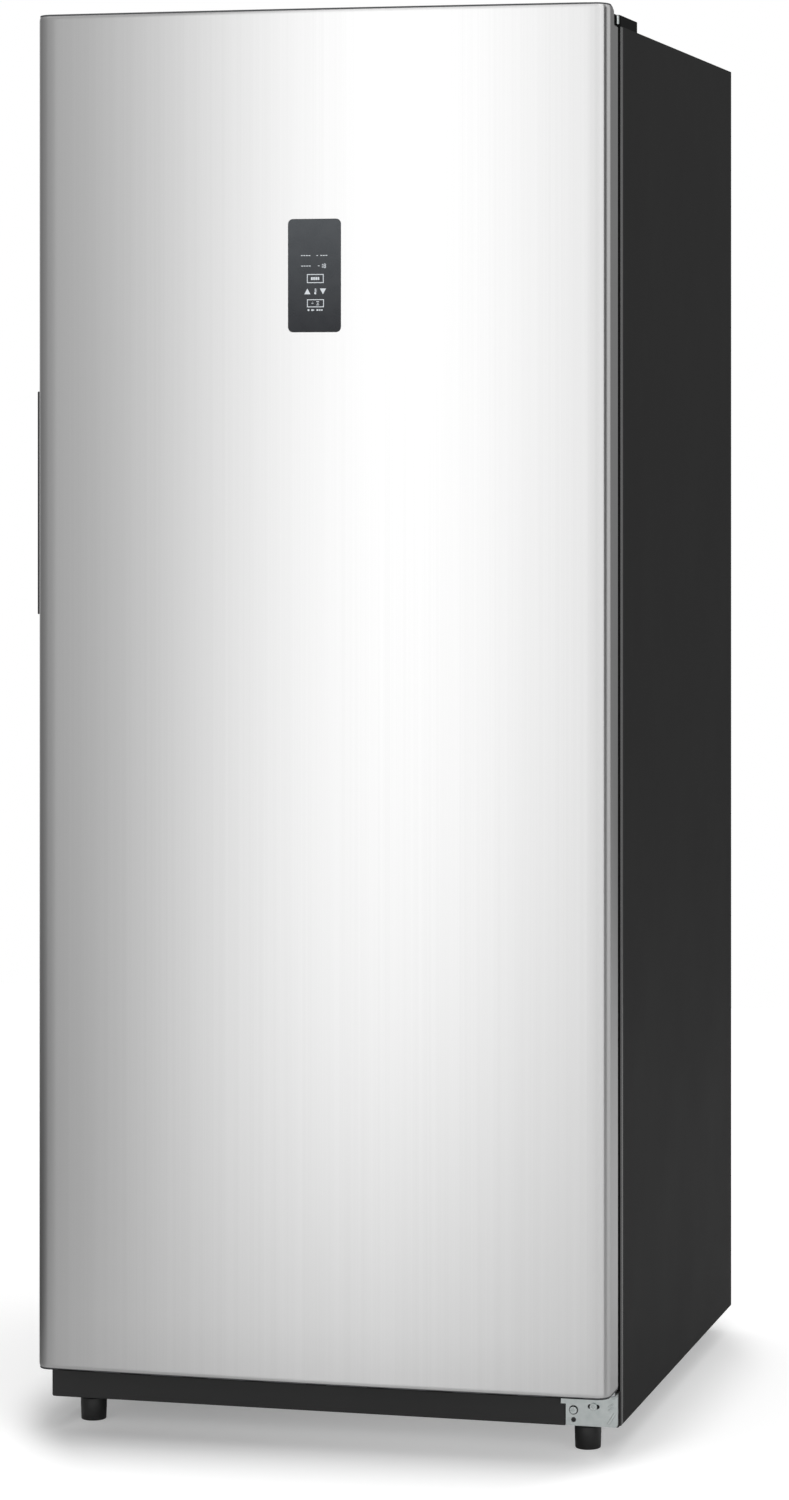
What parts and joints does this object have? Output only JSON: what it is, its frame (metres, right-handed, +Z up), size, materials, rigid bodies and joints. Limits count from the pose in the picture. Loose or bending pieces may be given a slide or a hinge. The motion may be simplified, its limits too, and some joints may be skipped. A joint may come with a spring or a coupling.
{
  "type": "upright freezer",
  "caption": "Tall freestanding freezer with a brushed steel door on side hinges, a touch display, a side grip, glass shelves, door bins and a drawer.",
  "frame": {"origin": "on the floor, under the middle of the overall width and depth", "axes": "+Z up, -Y out of the door's front, +X towards the hinge side"},
  "size_m": [0.711, 0.775, 1.7125],
  "materials": {
    "brushed_stainless": "satin",
    "dark_painted_steel": "satin",
    "galvanised_sheet": "satin",
    "zinc_plated_steel": "satin",
    "black_moulded_plastic": "satin",
    "grey_moulded_plastic": "satin",
    "white_liner_plastic": "gloss",
    "white_moulded_plastic": "satin",
    "insulating_foam": "matte",
    "clear_plastic": "gloss",
    "toughened_glass": "gloss",
    "display_overlay": "gloss",
    "grey_seal_rubber": "matte",
    "black_rubber": "matte",
    "copper_tube": "satin",
    "aluminium_fins": "satin",
    "black_painted_steel": "gloss",
    "heater_glass": "gloss",
    "frosted_lamp_plastic": "satin"
  },
  "bodies": {
    "cabinet": {"side_panel_left": "dark_painted_steel", "side_panel_right": "dark_painted_steel", "top_panel": "dark_painted_steel", "back_panel": "galvanised_sheet", "base_pan": "galvanised_sheet", "cabinet_foam": "insulating_foam", "cabinet_liner": "white_liner_plastic", "kick_plate": "black_moulded_plastic", "lower_hinge_bracket": "zinc_plated_steel", "upper_hinge_plate": "zinc_plated_steel", "hinge_cover": "black_moulded_plastic", "hinge_screws": "zinc_plated_steel", "hinge_pins": "zinc_plated_steel", "fan_panel": "white_moulded_plastic", "evaporator": "aluminium_fins", "defrost_heater": "heater_glass", "evaporator_fan_motor": "grey_moulded_plastic", "ceiling_lamp": "frosted_lamp_plastic", "compressor": "black_painted_steel", "compressor_mounts": "black_rubber", "compressor_relay": "grey_moulded_plastic", "condenser": "aluminium_fins", "drain_pan": "grey_moulded_plastic", "condenser_fan_motor": "grey_moulded_plastic", "filter_drier": "copper_tube", "refrigerant_tubes": "copper_tube", "control_board": "white_moulded_plastic", "machine_cover": "galvanised_sheet", "power_inlet": "black_moulded_plastic", "roller_brackets": "galvanised_sheet", "roller_axles": "zinc_plated_steel", "shelf_glass_1": "toughened_glass", "shelf_trims_1": "white_moulded_plastic", "shelf_glass_2": "toughened_glass", "shelf_trims_2": "white_moulded_plastic", "shelf_glass_3": "toughened_glass", "shelf_trims_3": "white_moulded_plastic", "shelf_glass_4": "toughened_glass", "shelf_trims_4": "white_moulded_plastic"},
    "door": {"door_skin": "brushed_stainless", "door_top_cap": "grey_moulded_plastic", "door_bottom_cap": "grey_moulded_plastic", "door_foam": "insulating_foam", "door_liner": "white_liner_plastic", "door_gasket": "grey_seal_rubber", "grip_insert": "black_moulded_plastic", "display_panel": "display_overlay", "display_board": "grey_moulded_plastic", "hinge_bushes": "white_moulded_plastic", "door_bin_1": "clear_plastic", "door_bin_2": "clear_plastic", "door_bin_3": "clear_plastic", "door_bin_4": "clear_plastic"},
    "drawer": {"freezer_drawer": "clear_plastic"},
    "foot_left": {"foot_left": "black_moulded_plastic"},
    "foot_right": {"foot_right": "black_moulded_plastic"},
    "roller_left": {"roller_left": "black_moulded_plastic"},
    "roller_right": {"roller_right": "black_moulded_plastic"},
    "condenser_fan": {"condenser_fan": "black_moulded_plastic"},
    "evaporator_fan": {"evaporator_fan": "white_moulded_plastic"}
  },
  "joints": [
    {"name": "door_hinge", "type": "hinge", "parent": "cabinet", "child": "door", "pos_m": [0.3435, -0.3365, 0.896], "axis": [0, 0, 1], "range_deg": [0, 105]},
    {"name": "drawer_slide", "type": "slide", "parent": "cabinet", "child": "drawer", "axis": [0, -1, 0], "range_m": [0, 0.225]},
    {"name": "foot_left_screw", "type": "slide", "parent": "cabinet", "child": "foot_left", "axis": [0, 0, 1], "range_m": [-0.012, 0.006]},
    {"name": "foot_right_screw", "type": "slide", "parent": "cabinet", "child": "foot_right", "axis": [0, 0, 1], "range_m": [-0.012, 0.006]},
    {"name": "roller_left_spin", "type": "hinge", "parent": "cabinet", "child": "roller_left", "pos_m": [-0.2905, 0.3275, 0.014], "axis": [1, 0, 0], "continuous": true},
    {"name": "roller_right_spin", "type": "hinge", "parent": "cabinet", "child": "roller_right", "pos_m": [0.2955, 0.3275, 0.014], "axis": [1, 0, 0], "continuous": true},
    {"name": "condenser_fan_spin", "type": "hinge", "parent": "cabinet", "child": "condenser_fan", "pos_m": [-0.0825, 0.2623, 0.1908], "axis": [1, 0, 0], "continuous": true},
    {"name": "evaporator_fan_spin", "type": "hinge", "parent": "cabinet", "child": "evaporator_fan", "pos_m": [0.0025, 0.2625, 0.834], "axis": [0, 1, 0], "continuous": true}
  ],
  "couplings": [
    {"joint": "drawer_slide", "follows": "door_hinge", "m_per_rad": 0.12}
  ]
}
